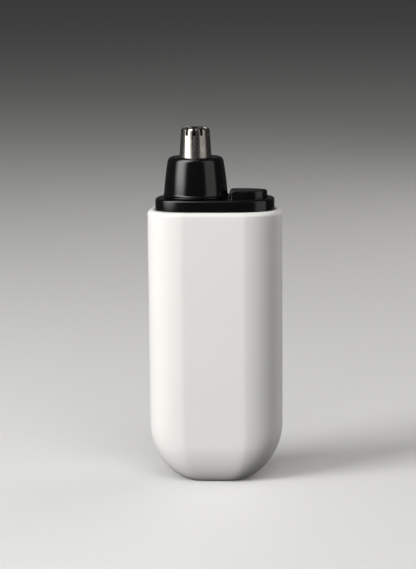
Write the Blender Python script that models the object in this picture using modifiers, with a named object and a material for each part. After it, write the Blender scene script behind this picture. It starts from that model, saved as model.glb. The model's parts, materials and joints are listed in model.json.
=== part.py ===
"""Compact rechargeable nose hair trimmer, standing on its foot, front towards -Y.

Lengths are in millimetres, and meshes are built in metres through MM. The origin is the middle
of the foot. The head and the motor share one vertical axis left of centre, and the push button
and its switch share another on the right.
"""

from math import acos, asin, copysign, cos, degrees, pi, radians, sin

import bmesh
import bpy
from mathutils import Matrix, Vector

MM = 0.001
SHARP_ANGLE = radians(30)
COLLECTION = "nose_hair_trimmer"
CUTTERS = "cutters"

# Clearances: between faces that rest on each other, and round what turns or slides
REST_GAP = 0.15
RUN_GAP = 0.2

# Sleeve: a rounded oblong with flat front and back, drawn in to a small flat foot
BODY_HALF_WIDTH = 16.4
BODY_HALF_DEPTH = 10.47
BODY_POWER = 3.1
BODY_DRAFT = 0.1
FACET_HALF_WIDTH = 7.5
BODY_TOP = 66.6
RIM_RADIUS = 1.1
FOOT_POWER = 1.75
FOOT_SIDE_RISE, FOOT_SIDE_INSET = 12.9, 9.9
FOOT_FRONT_RISE, FOOT_FRONT_INSET = 9.2, 3.9

# Cavity of the sleeve, and the deck that closes it
CAVITY_HALF_WIDTH, CAVITY_HALF_DEPTH = 14.7, 8.7
CAVITY_POWER = 2.9
FLOOR = 1.9
DECK_GAP = 0.2
DECK_TOP = BODY_TOP + 2.9
DECK_UNDERSIDE = DECK_TOP - 1.6
DECK_EDGE_WIDTH, DECK_EDGE_DROP = 1.2, 0.55
SKIRT_BOTTOM = DECK_TOP - 7.1
SKIRT_WALL = 1.2
GASKET_BOTTOM, GASKET_TOP = SKIRT_BOTTOM + 2.0, SKIRT_BOTTOM + 3.2
GASKET_DEPTH = 0.45

# Head, on the drive axis
DRIVE_X = -4.65
DOME_BASE = DECK_TOP + REST_GAP
DOME_TOP = 79.4
DOME_BASE_RADIUS, DOME_SHOULDER_RADIUS = 7.8, 6.7
DOME_FLARE = 0.15
DOME_FILLET = 1.5
DOME_ROOF = 1.3
NECK_RADIUS = 5.3
NECK_BORE = 2.45
NECK_TOP = 74.1
RING_Z = 71.9
CUTTER_TOP = 86.5
CUTTER_FLANGE_Z = 77.2
CUTTER_BASE_RADIUS, CUTTER_TOP_RADIUS = 3.9, 3.5
CUTTER_FLANGE_RADIUS = 5.1
CUTTER_WALL = 0.35
CROWN_RADIUS = 0.9
CROWN_HOLE = 1.5
SLOT_COUNT = 12
SLOT_WIDTH, SLOT_DEPTH = 0.6, 1.9
SLOT_TURN = radians(-2.0)
BLADE_TURN = SLOT_TURN + pi / SLOT_COUNT

# Drive between the motor's shaft and the inner blade
SHAFT_RADIUS = 0.75
SHAFT_TOP = 66.4
SEAL_RADIUS = 3.45
SEAL_BOTTOM, SEAL_TOP = DECK_UNDERSIDE - 1.7, DECK_UNDERSIDE - 0.25
COUPLER_RADIUS = 2.1
COUPLER_BOTTOM, COUPLER_TOP = 62.9, 73.2
COLLAR_BOTTOM, COLLAR_TOP = 77.4, 78.2
BLADE_BOTTOM = 79.3

# Push button: square towards the head and round at the right, sliding on an axis of its own
BUTTON_X = 8.12
BUTTON_LEFT, BUTTON_MIDDLE, BUTTON_RIGHT = 3.72, 7.28, 12.78
BUTTON_HALF_DEPTH = 3.8
BUTTON_LEFT_POWER, BUTTON_RIGHT_POWER = 10, 2
BUTTON_TOP = DECK_TOP + 1.75
BUTTON_EDGE_RADIUS = 0.35
BUTTON_TRAVEL = 0.6
FLANGE_REACH = 0.6
FLANGE_TOP = DECK_UNDERSIDE - 0.3
FLANGE_BOTTOM = FLANGE_TOP - 0.8

# Chassis plate, and the switch that stands on it
PLATE_BOTTOM, PLATE_TOP = 60.3, 61.7
SWITCH_BOARD_TOP = PLATE_TOP + 1.15
SWITCH_TOP = SWITCH_BOARD_TOP + 2.15
PLUNGER_TOP = SWITCH_TOP + 1.0

# Motor
MOTOR_BOTTOM, MOTOR_TOP = 40.0, 60.0
MOTOR_RADIUS, MOTOR_HALF_FLAT = 7.7, 5.8
MOTOR_WALL = 0.7
BOSS_RADIUS, BOSS_TOP = 3.0, 61.4
BUSH_RADIUS, BUSH_BORE = 1.8, SHAFT_RADIUS + RUN_GAP
MAGNET_INNER, MAGNET_OUTER = 5.1, 6.8
CORE_BOTTOM, CORE_TOP = 45.0, 55.0
CORE_RADIUS = 4.7
ROTOR_BORE = SHAFT_RADIUS + 0.25
COMMUTATOR_RADIUS = 1.7
BRUSH_Z = 42.1
TERMINAL_REACH = 4.6

# Cell, main board and charging socket
CELL_X, CELL_RADIUS = 8.6, 5.0
CELL_BOTTOM, CELL_TOP = 15.5, 55.0
BOARD_FRONT, BOARD_BACK = 1.75, 2.75
BOARD_TOP = 34.8
SOCKET_HALF_WIDTH, SOCKET_HALF_DEPTH = 4.47, 1.63
SOCKET_BOTTOM, SOCKET_TOP = 0.6, 7.9
WIRE_RADIUS = 0.42

# Screw places: deck screws by Y, motor screws by X, board screws by Z
DECK_SCREW_X, DECK_SCREW_TIP = 1.6, 66.4
DECK_SCREWS = {"front": -6.3, "rear": 6.3}
MOTOR_SCREWS = {"left": DRIVE_X - 5.0, "right": DRIVE_X + 5.0}
BOARD_SCREW_X = -5.0
BOARD_SCREWS = {"1": 16.5, "2": 31.5}


# ------------------------------------------------------------ scene and materials


def start_scene():
    """Clears the scene and makes the collections of the parts and of the cutters."""
    for old in list(bpy.data.objects):
        bpy.data.objects.remove(old, do_unlink=True)
    for name in (COLLECTION, CUTTERS):
        bpy.context.scene.collection.children.link(bpy.data.collections.new(name))


def material(name, colour, roughness, metallic=0.0):
    """A Principled material, made once for each name."""
    made = bpy.data.materials.get(name)
    if made:
        return made
    made = bpy.data.materials.new(name)
    made.use_nodes = True
    shader = made.node_tree.nodes["Principled BSDF"]
    shader.inputs["Base Color"].default_value = (*colour, 1.0)
    shader.inputs["Roughness"].default_value = roughness
    shader.inputs["Metallic"].default_value = metallic
    made.diffuse_color = (*colour, 1.0)
    return made


def white_shell():
    return material("white_shell", (0.80, 0.79, 0.76), 0.42)


def black_gloss():
    return material("black_gloss", (0.012, 0.012, 0.013), 0.16)


def black_plastic():
    return material("black_plastic", (0.03, 0.03, 0.032), 0.5)


def grey_plastic():
    return material("grey_plastic", (0.32, 0.33, 0.34), 0.5)


def steel():
    return material("steel", (0.62, 0.61, 0.59), 0.28, 1.0)


def plated():
    return material("plated", (0.72, 0.70, 0.62), 0.3, 1.0)


def copper():
    return material("copper", (0.72, 0.33, 0.14), 0.35, 1.0)


def bronze():
    return material("bronze", (0.55, 0.38, 0.18), 0.4, 1.0)


def magnet_grey():
    return material("magnet", (0.09, 0.09, 0.095), 0.55)


def rubber():
    return material("rubber", (0.02, 0.02, 0.02), 0.8)


def board_green():
    return material("board", (0.02, 0.16, 0.07), 0.45)


def chip_black():
    return material("chip", (0.02, 0.02, 0.022), 0.4)


def cell_wrap():
    return material("cell_wrap", (0.05, 0.22, 0.45), 0.4)


def wire_cover(name, colour):
    return material("wire_" + name, colour, 0.45)


# ------------------------------------------------------------ shape tools


def placed(name, mesh_data, look):
    """Puts a mesh in the scene as a part or, with no look, as a helper that doesn't render."""
    made = bpy.data.objects.new(name, mesh_data)
    bpy.data.collections[COLLECTION if look else CUTTERS].objects.link(made)
    if look:
        mesh_data.materials.append(look)
    else:
        made.hide_render = True
        made.display_type = "WIRE"
    return made


def from_bmesh(name, built, look):
    """Ends a bmesh as an object, with its normals facing out."""
    bmesh.ops.recalc_face_normals(built, faces=built.faces)
    mesh_data = bpy.data.meshes.new(name)
    built.to_mesh(mesh_data)
    built.free()
    mesh_data.shade_smooth()
    mesh_data.set_sharp_from_angle(angle=SHARP_ANGLE)
    return placed(name, mesh_data, look)


def block(name, low, high, look=None, bevel=0.0):
    """A box between two corners."""
    low, high = Vector(low), Vector(high)
    built = bmesh.new()
    bmesh.ops.create_cube(built, size=1.0)
    bmesh.ops.scale(built, vec=(high - low) * MM, verts=built.verts)
    if bevel:
        edges = built.edges[:]
        bmesh.ops.bevel(built, geom=edges, offset=bevel * MM, segments=2, affect="EDGES", profile=0.5)
    bmesh.ops.translate(built, vec=(low + high) / 2 * MM, verts=built.verts)
    return from_bmesh(name, built, look)


def rod(name, start, end, radius, look=None, sides=24):
    """A cylinder from one point to another."""
    start, end = Vector(start) * MM, Vector(end) * MM
    built = bmesh.new()
    size = radius * MM
    length = (end - start).length
    bmesh.ops.create_cone(built, cap_ends=True, segments=sides, radius1=size, radius2=size, depth=length)
    turn = Vector((0, 0, 1)).rotation_difference(end - start).to_matrix().to_4x4()
    bmesh.ops.transform(built, matrix=Matrix.Translation((start + end) / 2) @ turn, verts=built.verts)
    return from_bmesh(name, built, look)


def upright(name, x, y, bottom, top, radius, look=None, sides=24):
    return rod(name, (x, y, bottom), (x, y, top), radius, look, sides)


def turned(name, axis_x, profile, look=None, steps=32):
    """A profile of (radius, height) points spun round a vertical axis.

    It runs down the outer side, and either starts and ends on the axis or closes on itself.
    """
    points = [(radius * MM, 0.0, height * MM) for radius, height in profile]
    edges = [(i, i + 1) for i in range(len(points) - 1)]
    if profile[0][0] > 0 or profile[-1][0] > 0:
        edges.append((len(points) - 1, 0))
    mesh_data = bpy.data.meshes.new(name)
    mesh_data.from_pydata(points, edges, [])
    made = placed(name, mesh_data, look)
    made.location.x = axis_x * MM
    spin = made.modifiers.new("spin", "SCREW")
    spin.angle = 2 * pi
    spin.steps = steps
    spin.render_steps = steps
    spin.use_merge_vertices = True
    spin.merge_threshold = 1e-6
    return made


def washer(name, axis_x, outer, inner, bottom, top, look=None, steps=28):
    profile = [(outer, top), (outer, bottom), (inner, bottom), (inner, top)]
    return turned(name, axis_x, profile, look, steps)


def arc(centre, radius, start, end, steps):
    """Points of an arc, angles in degrees from the first axis towards the second."""
    angles = [radians(start + (end - start) * i / steps) for i in range(steps + 1)]
    return [(centre[0] + radius * cos(a), centre[1] + radius * sin(a)) for a in angles]


def prism(name, outline, bottom, top, look=None):
    """A flat outline of (x, y) points raised from one height to another."""
    built = bmesh.new()
    face = built.faces.new([built.verts.new((x * MM, y * MM, bottom * MM)) for x, y in outline])
    raised = bmesh.ops.extrude_face_region(built, geom=[face])
    moved = [item for item in raised["geom"] if isinstance(item, bmesh.types.BMVert)]
    bmesh.ops.translate(built, vec=(0, 0, (top - bottom) * MM), verts=moved)
    return from_bmesh(name, built, look)


def loft(name, levels, look=None):
    """A skin through (height, outline) levels in order, with the first and the last one closed."""
    built = bmesh.new()
    rings = [[built.verts.new((x * MM, y * MM, z * MM)) for x, y in outline] for z, outline in levels]
    for lower, upper in zip(rings, rings[1:]):
        for i in range(len(lower)):
            j = (i + 1) % len(lower)
            built.faces.new((lower[i], lower[j], upper[j], upper[i]))
    built.faces.new(rings[0][::-1])
    built.faces.new(rings[-1])
    return from_bmesh(name, built, look)


def tube(name, points, radius, look):
    """A wire along a list of points, with filled ends."""
    line = bpy.data.curves.new(name, "CURVE")
    line.dimensions = "3D"
    line.bevel_depth = radius * MM
    line.bevel_resolution = 2
    line.use_fill_caps = True
    spline = line.splines.new("POLY")
    spline.points.add(len(points) - 1)
    for target, point in zip(spline.points, points):
        target.co = (*(Vector(point) * MM), 1.0)
    line.materials.append(look)
    made = bpy.data.objects.new(name, line)
    bpy.data.collections[COLLECTION].objects.link(made)
    return made


def boolean(target, helpers, operation):
    for helper in helpers:
        step = target.modifiers.new(operation.lower() + "_" + helper.name, "BOOLEAN")
        step.operation = operation
        step.solver = "EXACT"
        step.object = helper


def cut(target, *helpers):
    boolean(target, helpers, "DIFFERENCE")


def join(target, *helpers):
    boolean(target, helpers, "UNION")


def turn_about_drive(angle, *objects):
    """Turns objects that were built round the origin, and moves them to the drive axis."""
    for item in objects:
        item.rotation_euler.z = angle
        item.location.x = DRIVE_X * MM


def pivot_at(name, x):
    """An empty on a vertical joint axis, for the pieces that move with it."""
    made = bpy.data.objects.new(name, None)
    made.empty_display_size = 5 * MM
    made.location.x = x * MM
    bpy.data.collections[COLLECTION].objects.link(made)
    return made


def ride(pivot, *parts):
    """Parents parts to a pivot without moving them."""
    for part in parts:
        part.parent = pivot
        part.matrix_parent_inverse = Matrix.Translation(-pivot.location)


# ------------------------------------------------------------ outlines


def oval_angles(side_steps=18, front_steps=6):
    """Angles for an oval section, with a point exactly on each of the four creases."""
    crease = acos((FACET_HALF_WIDTH / BODY_HALF_WIDTH) ** (BODY_POWER / 2))
    sides = [-crease + 2 * crease * i / side_steps for i in range(side_steps)]
    fronts = [crease + (pi - 2 * crease) * i / front_steps for i in range(front_steps)]
    half = sides + fronts
    return half + [angle + pi for angle in half]


def oval(half_width, half_depth, power, facet=None):
    """One closed outline of a rounded oblong whose front and back may be cut flat."""
    outline = []
    for angle in oval_angles():
        x = half_width * copysign(abs(cos(angle)) ** (2 / power), cos(angle))
        y = half_depth * copysign(abs(sin(angle)) ** (2 / power), sin(angle))
        if facet:
            y = max(-facet, min(facet, y))
        outline.append((x, y))
    return outline


def drawn_in(height, rise, inset):
    """How far the foot's rounding has come in at a height."""
    below = max(0.0, (rise - height) / rise)
    return inset * (1 - (1 - below**FOOT_POWER) ** (1 / FOOT_POWER))


def facet_share():
    """Depth of the flat front as a share of the oval's, so that they meet at FACET_HALF_WIDTH."""
    return (1 - (FACET_HALF_WIDTH / BODY_HALF_WIDTH) ** BODY_POWER) ** (1 / BODY_POWER)


def outer_section(height, inset=0.0):
    """Outline of the sleeve at a height, drawn in by an inset. Its flat front runs down to the foot."""
    draft = BODY_DRAFT * (1 - height / BODY_TOP)
    side = inset + draft + drawn_in(height, FOOT_SIDE_RISE, FOOT_SIDE_INSET)
    half_depth = BODY_HALF_DEPTH - inset - drawn_in(height, FOOT_FRONT_RISE, FOOT_FRONT_INSET)
    return oval(BODY_HALF_WIDTH - side, half_depth, BODY_POWER, half_depth * facet_share())


def cavity_section(height):
    """Outline of the sleeve's inside, which is rounded a little less than its outside."""
    side = drawn_in(height - FLOOR, FOOT_SIDE_RISE - FLOOR, FOOT_SIDE_INSET - 1.0)
    front = drawn_in(height - FLOOR, FOOT_FRONT_RISE - FLOOR, FOOT_FRONT_INSET - 1.0)
    return oval(CAVITY_HALF_WIDTH - side, CAVITY_HALF_DEPTH - front, CAVITY_POWER)


def foot_heights(bottom, rise, steps):
    """Heights that keep steps even round a rounded foot, close together near the ground."""
    return [bottom + rise * (1 - cos(pi / 2 * i / steps)) for i in range(steps + 1)]


def deck_section(inset=0.0):
    half_width = CAVITY_HALF_WIDTH - DECK_GAP - inset
    half_depth = CAVITY_HALF_DEPTH - DECK_GAP - inset
    return oval(half_width, half_depth, CAVITY_POWER)


def button_outline(inset=0.0):
    """Outline of the button, drawn in by an inset or, for what goes round it, let out by one."""
    outline = []
    for angle in oval_angles():
        right = cos(angle) > 0
        power = BUTTON_RIGHT_POWER if right else BUTTON_LEFT_POWER
        reach = (BUTTON_RIGHT - BUTTON_MIDDLE if right else BUTTON_MIDDLE - BUTTON_LEFT) - inset
        x = BUTTON_MIDDLE + reach * copysign(abs(cos(angle)) ** (2 / power), cos(angle))
        y = (BUTTON_HALF_DEPTH - inset) * copysign(abs(sin(angle)) ** (2 / power), sin(angle))
        outline.append((x, y))
    return outline


def stadium(half_length, half_width):
    """A slot outline, long in X, with round ends."""
    straight = half_length - half_width
    right = arc((straight, 0), half_width, -90, 90, 8)
    left = arc((-straight, 0), half_width, 90, 270, 8)
    return right + left


def can_outline(inset=0.0):
    """Round motor section with two flats, facing front and back."""
    radius, half_flat = MOTOR_RADIUS - inset, MOTOR_HALF_FLAT - inset
    reach = degrees(asin(half_flat / radius))
    centre = (DRIVE_X, 0)
    return arc(centre, radius, -reach, reach, 10) + arc(centre, radius, 180 - reach, 180 + reach, 10)


# ------------------------------------------------------------ sleeve and deck


def make_sleeve():
    """One moulded cup: outside up from the foot, over the rim and down the cavity."""
    levels = [(z, outer_section(z)) for z in foot_heights(0.0, FOOT_SIDE_RISE, 10)]
    rim = BODY_TOP - RIM_RADIUS
    for inset, rise in arc((RIM_RADIUS, 0), RIM_RADIUS, 180, 90, 4):
        levels.append((rim + rise, outer_section(rim, inset)))
    levels.append((BODY_TOP, cavity_section(BODY_TOP)))
    inner = foot_heights(FLOOR, FOOT_SIDE_RISE - FLOOR, 6)
    levels += [(z, cavity_section(z)) for z in reversed(inner)]
    sleeve = loft("body_sleeve", levels, white_shell())
    mouth = stadium(SOCKET_HALF_WIDTH + 0.33, SOCKET_HALF_DEPTH + 0.33)
    cut(sleeve, prism("socket_slot", mouth, -1.0, FLOOR + 1.0))


def make_deck():
    """Deck plate with its skirt, the neck for the head, the button's well and two screw bosses."""
    levels = [
        (SKIRT_BOTTOM, deck_section()),
        (GASKET_BOTTOM, deck_section()),
        (GASKET_BOTTOM, deck_section(GASKET_DEPTH)),
        (GASKET_TOP, deck_section(GASKET_DEPTH)),
        (GASKET_TOP, deck_section()),
    ]
    for inset, rise in arc((1, 0), 1, 180, 90, 4):
        height = DECK_TOP - DECK_EDGE_DROP * (1 - rise)
        levels.append((height, deck_section(inset * DECK_EDGE_WIDTH)))
    deck = loft("top_deck", levels, black_gloss())
    below, above = SKIRT_BOTTOM - 2, NECK_TOP + 5
    inside = [(z, deck_section(SKIRT_WALL)) for z in (below, DECK_UNDERSIDE)]
    recess = prism("well_recess", button_outline(-FLANGE_REACH - 0.3), below, DECK_UNDERSIDE - 0.1)
    cut(deck, loft("deck_inside", inside), recess)
    join(
        deck,
        washer("neck", DRIVE_X, NECK_RADIUS, 1.8, DECK_UNDERSIDE + 0.4, NECK_TOP, steps=40),
        washer("seal_boss", DRIVE_X, 4.4, 1.9, SEAL_BOTTOM - 0.9, DECK_UNDERSIDE + 0.5, steps=36),
    )
    cut(
        deck,
        upright("neck_bore", DRIVE_X, 0, below, above, NECK_BORE, sides=40),
        upright("seal_bore", DRIVE_X, 0, below, SEAL_TOP + REST_GAP, SEAL_RADIUS + REST_GAP, sides=40),
        washer("ring_groove", DRIVE_X, 7.0, NECK_RADIUS - 0.35, RING_Z - 0.5, RING_Z + 0.5, steps=40),
        prism("button_well", button_outline(-RUN_GAP), below, above),
    )
    for side, y in DECK_SCREWS.items():
        place = (DECK_SCREW_X, y)
        join(deck, upright(f"deck_boss_{side}", *place, PLATE_TOP + 0.2, DECK_UNDERSIDE + 0.5, 1.5))
        pilot_top = DECK_SCREW_TIP + 0.6
        cut(deck, upright(f"deck_pilot_{side}", *place, PLATE_TOP - 1, pilot_top, 0.85, sides=16))


def make_seals():
    """Gasket round the skirt, ring on the neck, lip seal round the coupler, boot under the button."""
    ring = [(GASKET_BOTTOM + 0.12, deck_section(-0.1)), (GASKET_TOP - 0.12, deck_section(-0.1))]
    gasket = loft("deck_gasket", ring, rubber())
    hole = [(z, deck_section(GASKET_DEPTH - 0.1)) for z in (GASKET_BOTTOM - 1, GASKET_TOP + 1)]
    cut(gasket, loft("gasket_hole", hole))
    width, height = 0.42, 0.36
    corners = [-2 * pi * i / 10 for i in range(10)]
    profile = [(NECK_RADIUS + 0.15 + width * cos(a), RING_Z + height * sin(a)) for a in corners]
    turned("neck_ring", DRIVE_X, profile, rubber(), steps=40)
    lip = COUPLER_RADIUS + RUN_GAP
    washer("shaft_seal", DRIVE_X, SEAL_RADIUS, lip, SEAL_BOTTOM, SEAL_TOP, rubber(), 36)
    bottom, top = SWITCH_BOARD_TOP + REST_GAP, FLANGE_BOTTOM - BUTTON_TRAVEL - 0.3
    boot = prism("button_boot", button_outline(-0.35), bottom, top, rubber())
    cut(boot, prism("boot_hole", button_outline(0.35), bottom - 1, top + 1))


# ------------------------------------------------------------ fasteners and chassis


def screw(name, seat, tip, head_radius, shank_radius):
    """A pan-head screw from the face its head sits on to its tip, with a driver slot along X."""
    seat, tip = Vector(seat), Vector(tip)
    way = (tip - seat).normalized()
    head_height, slot_depth, slot_half_width = 0.8, 0.35, 0.16
    shank = rod(name, seat, tip, shank_radius, steel(), sides=12)
    outer = seat - way * head_height
    join(shank, rod(name + "_head", outer, seat + way * 0.1, head_radius, sides=16))
    reach = Vector((head_radius * 0.6, 0, 0))
    across = way.cross(Vector((1, 0, 0))) * slot_half_width
    corners = [outer - way - reach - across, outer + way * slot_depth + reach + across]
    low = [min(pair) for pair in zip(*corners)]
    high = [max(pair) for pair in zip(*corners)]
    cut(shank, block(name + "_slot", low, high))


def make_screws():
    for side, y in DECK_SCREWS.items():
        seat = (DECK_SCREW_X, y, PLATE_BOTTOM - 0.1)
        screw(f"deck_screw_{side}", seat, (DECK_SCREW_X, y, DECK_SCREW_TIP), 1.1, 0.65)
    for side, x in MOTOR_SCREWS.items():
        screw(f"motor_screw_{side}", (x, 0, PLATE_TOP + 0.1), (x, 0, MOTOR_TOP - 1.4), 1.0, 0.6)
    for number, z in BOARD_SCREWS.items():
        seat = (BOARD_SCREW_X, BOARD_FRONT - 0.1, z)
        screw(f"board_screw_{number}", seat, (BOARD_SCREW_X, 5.6, z), 1.2, 0.6)


def make_chassis():
    """Top plate for motor and switch, two uprights at the back, a cell shelf and board pegs."""
    outline = oval(CAVITY_HALF_WIDTH - 0.45, CAVITY_HALF_DEPTH - 0.45, CAVITY_POWER)
    chassis = prism("chassis", outline, PLATE_BOTTOM, PLATE_TOP, grey_plastic())
    front, back = 6.7, 7.8
    shelf_bottom, shelf_top = CELL_BOTTOM - 1.9, CELL_BOTTOM - 0.7
    join(
        chassis,
        block("upright_left", (-7.0, front, 12.0), (-2.0, back, PLATE_BOTTOM + 0.6)),
        block("upright_right", (4.0, front, 12.0), (7.0, back, PLATE_BOTTOM + 0.6)),
        block("cross_bar", (-3.0, front, 13.0), (5.0, back, 17.0)),
        block("cell_shelf", (4.0, -3.6, shelf_bottom), (12.6, 4.6, shelf_top)),
        block("shelf_bridge", (4.0, 4.0, shelf_bottom), (7.0, front + 0.3, shelf_top)),
    )
    for number, z in BOARD_SCREWS.items():
        peg = ((BOARD_SCREW_X, BOARD_BACK + REST_GAP, z), (BOARD_SCREW_X, front + 0.3, z))
        join(chassis, rod(f"board_peg_{number}", *peg, 1.5, sides=20))
        hole = ((BOARD_SCREW_X, 2, z), (BOARD_SCREW_X, 6, z))
        cut(chassis, rod(f"board_pilot_{number}", *hole, 0.8, sides=16))
    below, above = PLATE_BOTTOM - 2, PLATE_TOP + 2
    holes = [upright("boss_hole", DRIVE_X, 0, below, above, BOSS_RADIUS + 0.3, sides=32)]
    for side, x in MOTOR_SCREWS.items():
        holes.append(upright(f"motor_screw_hole_{side}", x, 0, below, above, 0.85, sides=16))
    for side, y in DECK_SCREWS.items():
        holes.append(upright(f"deck_screw_hole_{side}", DECK_SCREW_X, y, below, above, 0.85, sides=16))
    holes.append(block("wire_notch", (9.0, -9.0, below), (11.4, -5.3, above)))
    cut(chassis, *holes)


# ------------------------------------------------------------ motor


def make_motor_case():
    """Steel can with a front boss, and the plastic cap that closes its rear."""
    can = prism("motor_can", can_outline(), MOTOR_BOTTOM, MOTOR_TOP, steel())
    join(can, upright("can_boss", DRIVE_X, 0, MOTOR_TOP - 0.3, BOSS_TOP, BOSS_RADIUS, sides=32))
    holes = [
        prism("can_inside", can_outline(MOTOR_WALL), MOTOR_BOTTOM - 1, MOTOR_TOP - 0.8),
        upright("can_bore", DRIVE_X, 0, MOTOR_TOP - 2, BOSS_TOP + 1, BUSH_RADIUS + RUN_GAP, sides=32),
    ]
    for side, x in MOTOR_SCREWS.items():
        holes.append(upright(f"can_hole_{side}", x, 0, MOTOR_TOP - 2, MOTOR_TOP + 2, 0.8, sides=16))
    cut(can, *holes)
    cap_bottom, cap_top = MOTOR_BOTTOM - 1.5, MOTOR_BOTTOM - REST_GAP
    cap = prism("motor_end_cap", can_outline(), cap_bottom, cap_top, black_plastic())
    spigot = can_outline(MOTOR_WALL + RUN_GAP)
    join(cap, prism("cap_spigot", spigot, MOTOR_BOTTOM - 1, MOTOR_BOTTOM + 1.2))
    bore = BUSH_RADIUS + RUN_GAP
    cut(cap, upright("cap_bore", DRIVE_X, 0, MOTOR_BOTTOM - 3, MOTOR_BOTTOM + 3, bore, sides=32))


def make_motor_inside():
    """Bushes, arc magnets, brushes and terminals, which stay still while the rotor turns."""
    bush = (DRIVE_X, BUSH_RADIUS, BUSH_BORE)
    washer("motor_front_bush", *bush, MOTOR_TOP - 1.1, BOSS_TOP - 0.1, bronze())
    washer("motor_rear_bush", *bush, MOTOR_BOTTOM - 1.4, MOTOR_BOTTOM + 1.0, bronze())
    spread = 44
    for name, side, middle in (("left", -1, 180), ("right", 1, 0)):
        outline = arc((DRIVE_X, 0), MAGNET_OUTER, middle - spread, middle + spread, 10)
        outline += arc((DRIVE_X, 0), MAGNET_INNER, middle + spread, middle - spread, 10)
        prism(f"motor_magnet_{name}", outline, CORE_BOTTOM - 1, CORE_TOP + 1, magnet_grey())
        left, right = sorted(DRIVE_X + side * (COMMUTATOR_RADIUS + reach) for reach in (0.25, 1.5))
        block(f"motor_brush_{name}", (left, -0.6, BRUSH_Z - 0.7), (right, 0.6, BRUSH_Z + 0.7), copper())
        tab, top = DRIVE_X + side * TERMINAL_REACH, MOTOR_BOTTOM - 1.5 - REST_GAP
        block(f"motor_terminal_{name}", (tab - 0.9, -0.2, top - 2.15), (tab + 0.9, 0.2, top), plated())


def make_rotor(pivot):
    """Shaft, laminated core, windings and commutator, which turn inside the motor."""
    shaft_bottom = MOTOR_BOTTOM - 1.2
    shaft = upright("motor_shaft", DRIVE_X, 0, shaft_bottom, SHAFT_TOP, SHAFT_RADIUS, steel(), sides=20)
    core = washer("armature_core", DRIVE_X, 2.0, ROTOR_BORE, CORE_BOTTOM, CORE_TOP, steel())
    ride(pivot, shaft, core)
    shoe_spread = 46
    for i in range(3):
        turn = 2 * pi * i / 3
        arm = block(f"core_arm_{i}", (1.6, -0.75, CORE_BOTTOM), (CORE_RADIUS - 0.5, 0.75, CORE_TOP))
        outline = arc((0, 0), CORE_RADIUS, -shoe_spread, shoe_spread, 8)
        outline += arc((0, 0), CORE_RADIUS - 0.8, shoe_spread, -shoe_spread, 8)
        shoe = prism(f"core_shoe_{i}", outline, CORE_BOTTOM, CORE_TOP)
        turn_about_drive(turn, arm, shoe)
        join(core, arm, shoe)
        ride(pivot, make_winding(i, turn))
    bottom, top = BRUSH_Z - 0.8, BRUSH_Z + 1.3
    ride(pivot, washer("commutator", DRIVE_X, COMMUTATOR_RADIUS, ROTOR_BORE, bottom, top, copper()))


def make_winding(index, turn):
    """One rectangular coil round an arm of the core."""
    low, high = (2.3, -1.75, CORE_BOTTOM - 1.0), (CORE_RADIUS - 1.1, 1.75, CORE_TOP + 1.0)
    coil = block(f"armature_coil_{index + 1}", low, high, copper(), bevel=0.3)
    window = block(f"coil_window_{index}", (1.0, -0.95, CORE_BOTTOM - 0.2), (5.0, 0.95, CORE_TOP + 0.2))
    cut(coil, window)
    turn_about_drive(turn, coil, window)
    return coil


# ------------------------------------------------------------ drive and head


def make_drive(pivot):
    """Coupler on the shaft, spring, blade carrier and the four-winged inner blade."""
    coupler = turned("drive_coupler", DRIVE_X, [
        (0.0, COUPLER_TOP), (COUPLER_RADIUS - 0.3, COUPLER_TOP), (COUPLER_RADIUS, COUPLER_TOP - 0.3),
        (COUPLER_RADIUS, COUPLER_BOTTOM), (SHAFT_RADIUS + RUN_GAP, COUPLER_BOTTOM),
        (SHAFT_RADIUS + RUN_GAP, SHAFT_TOP + 0.3), (0.0, SHAFT_TOP + 0.3),
    ], grey_plastic())
    slot_bottom = COUPLER_TOP - 1.8
    low, high = (DRIVE_X - 0.55, -3, slot_bottom), (DRIVE_X + 0.55, 3, COUPLER_TOP + 1)
    cut(coupler, block("coupler_slot", low, high))
    stem_bottom = COUPLER_TOP + 0.3
    carrier = turned("blade_carrier", DRIVE_X, [
        (0.0, BLADE_BOTTOM - 0.3), (1.3, BLADE_BOTTOM - 0.3), (1.3, COLLAR_TOP), (2.5, COLLAR_TOP),
        (2.5, COLLAR_BOTTOM), (1.0, COLLAR_BOTTOM), (1.0, stem_bottom), (0.0, stem_bottom),
    ], grey_plastic())
    low, high = (DRIVE_X - 0.4, -0.9, slot_bottom + 0.3), (DRIVE_X + 0.4, 0.9, stem_bottom + 0.5)
    join(carrier, block("carrier_key", low, high))
    ride(pivot, coupler, carrier, make_spring(), make_inner_blade())


def make_spring():
    """Compression spring between the coupler and the carrier's collar."""
    wire, radius, turns, steps = 0.22, 1.55, 3.5, 56
    bottom, top = COUPLER_TOP + 0.28 + wire, COLLAR_BOTTOM - 0.13 - wire
    coil = []
    for i in range(steps + 1):
        angle = 2 * pi * turns * i / steps
        height = bottom + (top - bottom) * i / steps
        coil.append((DRIVE_X + radius * cos(angle), radius * sin(angle), height))
    return tube("blade_spring", coil, wire, steel())


def make_inner_blade():
    """Crossed wings, trimmed to the inside of the cutter and turned to lie between its slots."""
    top = CUTTER_TOP - CUTTER_WALL - 0.2
    radius = CUTTER_TOP_RADIUS - CUTTER_WALL - REST_GAP
    wings = block("blade_wing_1", (-4, -0.3, BLADE_BOTTOM - 1), (4, 0.3, top + 1))
    other = block("blade_wing_2", (-0.3, -4, BLADE_BOTTOM - 1), (0.3, 4, top + 1))
    join(wings, other)
    blade = turned("inner_blade", DRIVE_X, [
        (0.0, top), (radius - 0.7, top), (radius - 0.05, top - 0.65), (radius + 0.05, BLADE_BOTTOM),
        (0.0, BLADE_BOTTOM),
    ], steel())
    boolean(blade, [wings], "INTERSECT")
    turn_about_drive(BLADE_TURN, wings, other)
    return blade


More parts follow.
